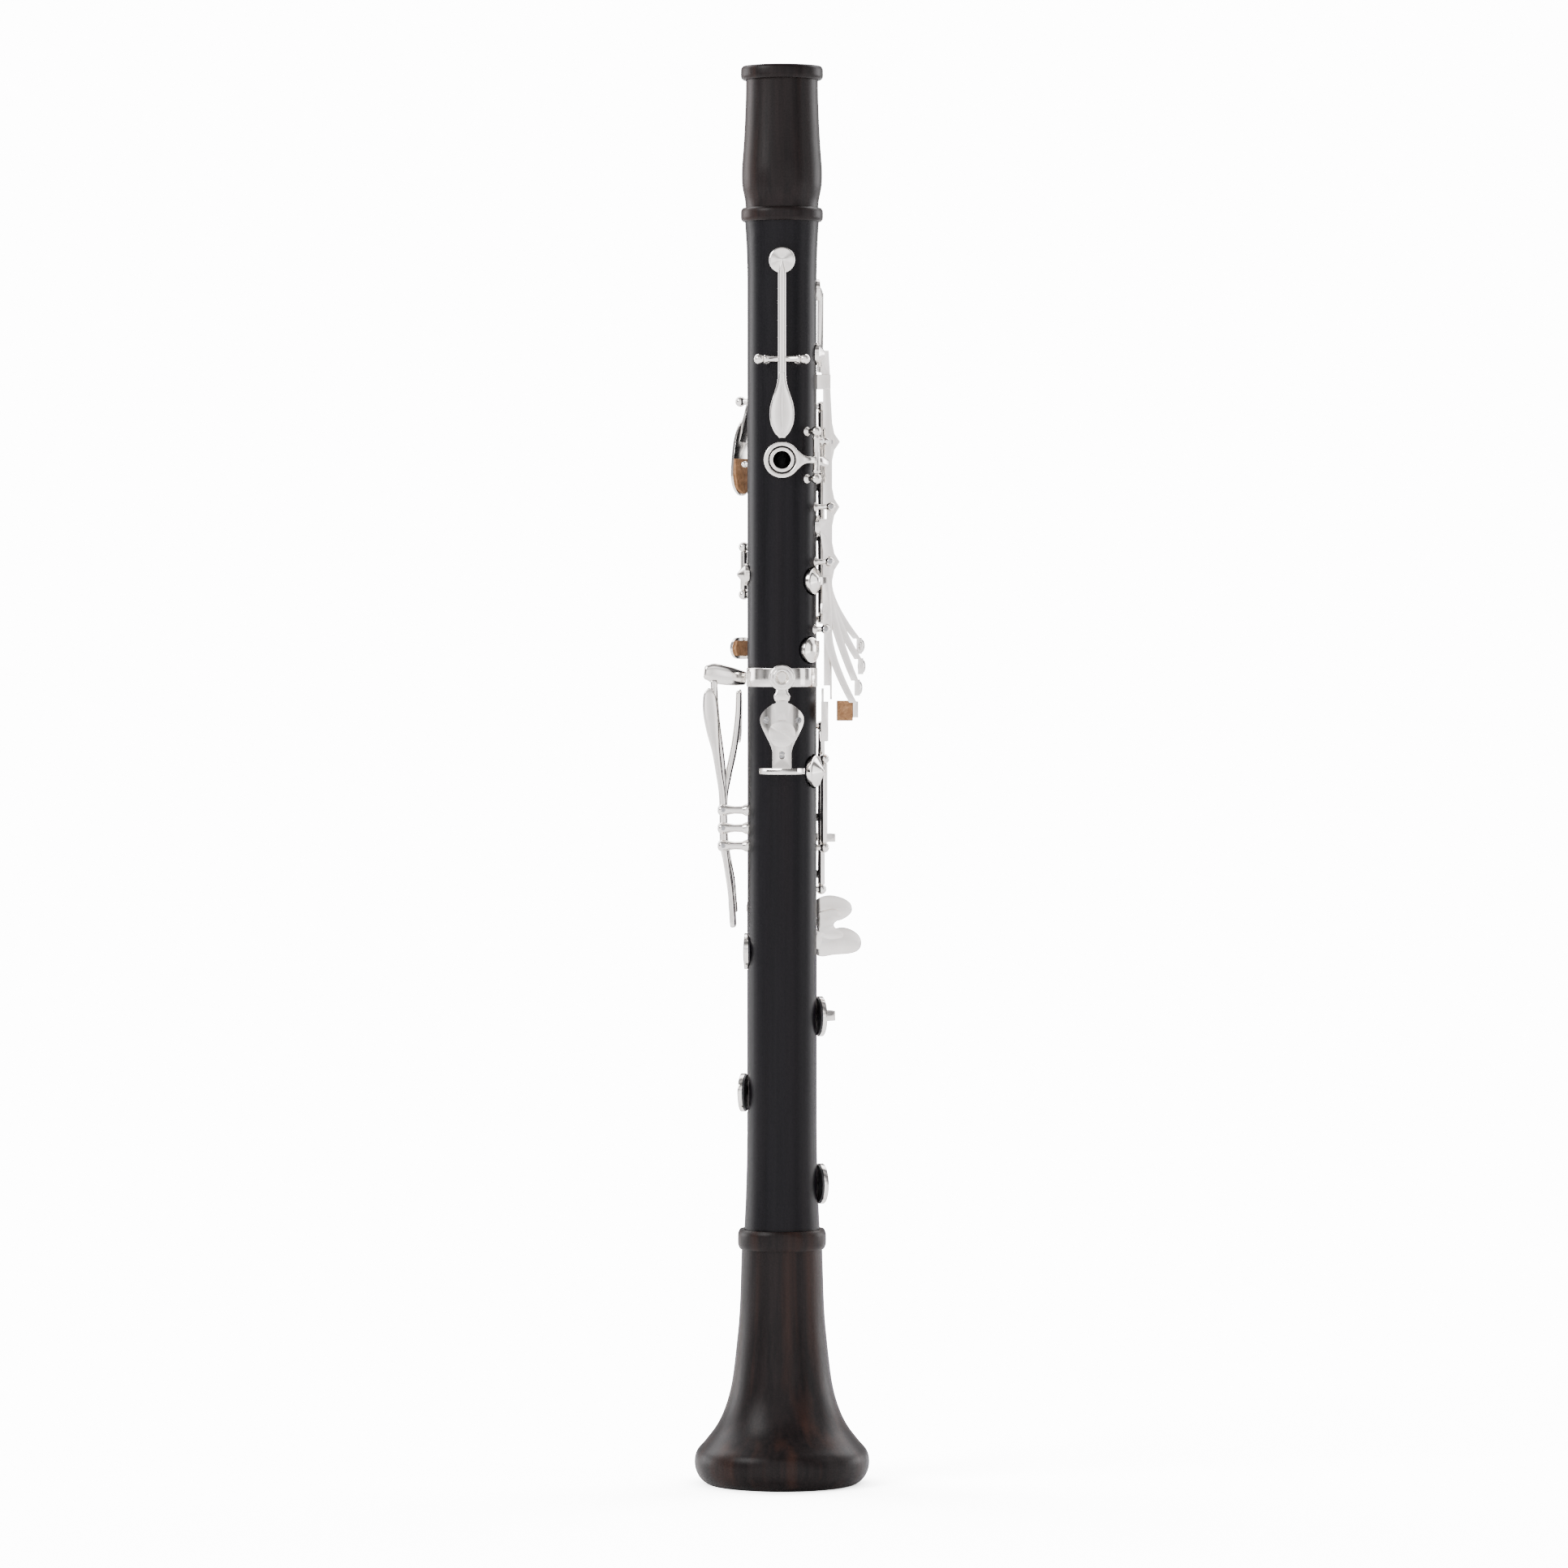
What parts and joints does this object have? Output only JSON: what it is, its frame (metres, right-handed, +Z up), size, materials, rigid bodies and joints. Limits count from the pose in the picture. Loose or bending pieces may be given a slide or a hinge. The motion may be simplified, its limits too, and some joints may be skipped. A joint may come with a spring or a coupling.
{
  "type": "clarinet",
  "caption": "Soprano clarinet body of dark wood with silver plated keys, rings and thumb rest, standing on its bell, ready for a mouthpiece.",
  "frame": {"origin": "centre of the bell's rim plane, on the bore axis", "axes": "+Z up the bore towards the mouthpiece socket, -Y the thumb side, +X the player's right"},
  "size_m": [0.0734, 0.0734, 0.595],
  "materials": {
    "streaked_wood": "very dark brown hardwood with faint reddish streaks, oiled, semi-gloss",
    "wood": "near-black hardwood, oiled, semi-gloss",
    "silver_plate": "polished silver plate",
    "steel": "drawn steel rod",
    "pad": "black synthetic leather, satin",
    "cork": "natural cork, matte"
  },
  "bodies": {
    "instrument": {"barrel_tenon_cork": "cork", "bell": "streaked_wood", "bell_tenon_cork": "cork", "lower_hinge_rods": "steel", "lower_joint": "wood", "lower_posts": "silver_plate", "middle_tenon_cork": "cork", "register_vent_tube": "silver_plate", "socket_band": "silver_plate", "thumb_rest_plate": "silver_plate", "thumb_rest_wood_screws": "silver_plate", "thumb_tube": "silver_plate", "trill_key_guide": "silver_plate", "upper_hinge_rods": "steel", "upper_joint": "wood", "upper_posts": "silver_plate"},
    "register_key": {"register_key": "silver_plate", "register_pad": "pad"},
    "thumb_ring_key": {"thumb_ring_key": "silver_plate"},
    "throat_a_key": {"throat_a_key": "silver_plate", "throat_a_pad": "pad"},
    "throat_g_sharp_key": {"throat_g_sharp_key": "silver_plate", "throat_g_sharp_pad": "pad", "throat_g_sharp_cork": "cork"},
    "left_ring_key": {"left_ring_key": "silver_plate", "left_ring_pad": "pad"},
    "c_sharp_g_sharp_key": {"c_sharp_g_sharp_key": "silver_plate", "c_sharp_g_sharp_pad": "pad", "c_sharp_g_sharp_cork": "cork"},
    "left_sliver_key": {"left_sliver_key": "silver_plate", "left_sliver_pad": "pad"},
    "side_key_1": {"side_key_1": "silver_plate", "side_1_pad": "pad", "side_key_1_cork": "cork"},
    "side_key_2": {"side_key_2": "silver_plate", "side_2_pad": "pad"},
    "side_key_3": {"side_key_3": "silver_plate", "side_3_pad": "pad"},
    "side_key_4": {"side_key_4": "silver_plate", "side_4_pad": "pad"},
    "right_ring_key": {"right_ring_key": "silver_plate"},
    "right_sliver_key": {"right_sliver_key": "silver_plate", "right_sliver_pad": "pad"},
    "ab_eb_key": {"ab_eb_key": "silver_plate", "ab_eb_pad": "pad"},
    "f_c_touch_lever": {"f_c_touch_lever": "silver_plate"},
    "f_c_key": {"f_c_key": "silver_plate", "f_c_pad": "pad"},
    "e_b_key": {"e_b_key": "silver_plate", "e_b_pad": "pad"},
    "f_sharp_c_sharp_key": {"f_sharp_c_sharp_key": "silver_plate", "f_sharp_c_sharp_pad": "pad"},
    "left_f_lever": {"left_f_lever": "silver_plate"},
    "left_e_lever": {"left_e_lever": "silver_plate"},
    "left_f_sharp_lever": {"left_f_sharp_lever": "silver_plate"},
    "thumb_rest": {"thumb_rest_slide": "silver_plate"},
    "lock_screw": {"thumb_rest_lock_screw": "silver_plate"},
    "barrel_body": {"barrel": "streaked_wood"}
  },
  "joints": [
    {"name": "register_hinge", "type": "hinge", "parent": "instrument", "child": "register_key", "pos_m": [0, -0.01827, 0.4719], "axis": [1, 0, 0], "range_deg": [0, 2.4], "stiffness_Nm_per_rad": 0.05, "springref_deg": -8.59},
    {"name": "thumb_ring_hinge", "type": "hinge", "parent": "instrument", "child": "thumb_ring_key", "pos_m": [0.01438, -0.01317, 0.4299], "axis": [0, 0, 1], "range_deg": [-5, 0], "stiffness_Nm_per_rad": 0.05, "springref_deg": 8.59},
    {"name": "throat_a_hinge", "type": "hinge", "parent": "instrument", "child": "throat_a_key", "pos_m": [0, 0.01892, 0.463], "axis": [-1, 0, 0], "range_deg": [0, 3.7], "stiffness_Nm_per_rad": 0.05, "springref_deg": -8.59},
    {"name": "throat_g_sharp_hinge", "type": "hinge", "parent": "instrument", "child": "throat_g_sharp_key", "pos_m": [-0.01305, 0.0145, 0.455], "axis": [-0.7431, -0.6691, 0], "range_deg": [0, 4], "stiffness_Nm_per_rad": 0.05, "springref_deg": -8.59},
    {"name": "left_ring_hinge", "type": "hinge", "parent": "instrument", "child": "left_ring_key", "pos_m": [0.01654, 0.01033, 0.4], "axis": [0, 0, 1], "range_deg": [0, 5.5], "stiffness_Nm_per_rad": 0.05, "springref_deg": -8.59},
    {"name": "c_sharp_g_sharp_hinge", "type": "hinge", "parent": "instrument", "child": "c_sharp_g_sharp_key", "pos_m": [0.00497, 0.01855, 0.352], "axis": [0, 0, 1], "range_deg": [0, 4.9], "stiffness_Nm_per_rad": 0.05, "springref_deg": -8.59},
    {"name": "left_sliver_hinge", "type": "hinge", "parent": "instrument", "child": "left_sliver_key", "pos_m": [-0.01607, 0.00854, 0.3838], "axis": [0, 0, 1], "range_deg": [-6.5, 0], "stiffness_Nm_per_rad": 0.05, "springref_deg": 8.59},
    {"name": "side_1_hinge", "type": "hinge", "parent": "instrument", "child": "side_key_1", "pos_m": [0.0183, -0.0032, 0.3592], "axis": [0, 1, 0], "range_deg": [0, 3.4], "stiffness_Nm_per_rad": 0.05, "springref_deg": -8.59},
    {"name": "side_2_hinge", "type": "hinge", "parent": "instrument", "child": "side_key_2", "pos_m": [0.0201, -0.0011, 0.3875], "axis": [0, 1, 0], "range_deg": [0, 3.6], "stiffness_Nm_per_rad": 0.05, "springref_deg": -8.59},
    {"name": "side_3_hinge", "type": "hinge", "parent": "instrument", "child": "side_key_3", "pos_m": [0.0205, 0.001, 0.4105], "axis": [0, 1, 0], "range_deg": [0, 1.8], "stiffness_Nm_per_rad": 0.05, "springref_deg": -8.59},
    {"name": "side_4_hinge", "type": "hinge", "parent": "instrument", "child": "side_key_4", "pos_m": [0.0205, 0.0031, 0.4379], "axis": [0, 1, 0], "range_deg": [0, 1.8], "stiffness_Nm_per_rad": 0.05, "springref_deg": -8.59},
    {"name": "right_ring_hinge", "type": "hinge", "parent": "instrument", "child": "right_ring_key", "pos_m": [0.01654, 0.01033, 0.284], "axis": [0, 0, 1], "range_deg": [0, 4.5], "stiffness_Nm_per_rad": 0.05, "springref_deg": -8.59},
    {"name": "right_sliver_hinge", "type": "hinge", "parent": "instrument", "child": "right_sliver_key", "pos_m": [0.01769, 0.00575, 0.286], "axis": [0, 0, 1], "range_deg": [0, 5], "stiffness_Nm_per_rad": 0.05, "springref_deg": -8.59},
    {"name": "ab_eb_hinge", "type": "hinge", "parent": "instrument", "child": "ab_eb_key", "pos_m": [-0.00472, 0.01892, 0.229], "axis": [0, 0, 1], "range_deg": [-4.5, 0], "stiffness_Nm_per_rad": 0.05, "springref_deg": 8.59},
    {"name": "f_c_touch_lever_hinge", "type": "hinge", "parent": "instrument", "child": "f_c_touch_lever", "pos_m": [0.00136, 0.01945, 0.2], "axis": [0, 0, 1], "range_deg": [-3, 0], "stiffness_Nm_per_rad": 0.05, "springref_deg": 8.59},
    {"name": "f_c_hinge", "type": "hinge", "parent": "instrument", "child": "f_c_key", "pos_m": [-0.00975, 0.01689, 0.165], "axis": [0, 0, 1], "range_deg": [0, 5.2]},
    {"name": "e_b_hinge", "type": "hinge", "parent": "instrument", "child": "e_b_key", "pos_m": [0.01253, 0.01494, 0.18], "axis": [0, 0, 1], "range_deg": [-6.3, 0], "stiffness_Nm_per_rad": 0.05, "springref_deg": 8.59},
    {"name": "f_sharp_c_sharp_hinge", "type": "hinge", "parent": "instrument", "child": "f_sharp_c_sharp_key", "pos_m": [0.0073, 0.01808, 0.22], "axis": [0, 0, 1], "range_deg": [-5, 0], "stiffness_Nm_per_rad": 0.05, "springref_deg": 8.59},
    {"name": "left_f_lever_hinge", "type": "hinge", "parent": "instrument", "child": "left_f_lever", "pos_m": [-0.0247, 0.0026, 0.2683], "axis": [0, 1, 0], "range_deg": [0, 2.1]},
    {"name": "left_e_lever_hinge", "type": "hinge", "parent": "instrument", "child": "left_e_lever", "pos_m": [-0.0247, 0.005, 0.2757], "axis": [0, 1, 0], "range_deg": [0, 2.1]},
    {"name": "left_f_sharp_lever_hinge", "type": "hinge", "parent": "instrument", "child": "left_f_sharp_lever", "pos_m": [-0.0247, 0.0074, 0.2833], "axis": [0, 1, 0], "range_deg": [0, 2.1]},
    {"name": "thumb_rest_slide", "type": "slide", "parent": "instrument", "child": "thumb_rest", "axis": [0, 0, 1], "range_m": [-0.004, 0.004]},
    {"name": "thumb_rest_lock_turn", "type": "hinge", "parent": "thumb_rest", "child": "lock_screw", "pos_m": [0, -0.0175, 0.3156], "axis": [0, -1, 0], "range_deg": [0, 180]},
    {"name": "barrel_pull", "type": "slide", "parent": "instrument", "child": "barrel_body", "axis": [0, 0, 1], "range_m": [0, 0.003]}
  ],
  "couplings": [
    {"joint": "f_c_hinge", "follows": "f_c_touch_lever_hinge", "ratio": -1.73},
    {"joint": "left_f_lever_hinge", "follows": "f_c_touch_lever_hinge", "ratio": -0.7},
    {"joint": "left_e_lever_hinge", "follows": "e_b_hinge", "ratio": -0.33},
    {"joint": "left_f_sharp_lever_hinge", "follows": "f_sharp_c_sharp_hinge", "ratio": -0.42}
  ]
}
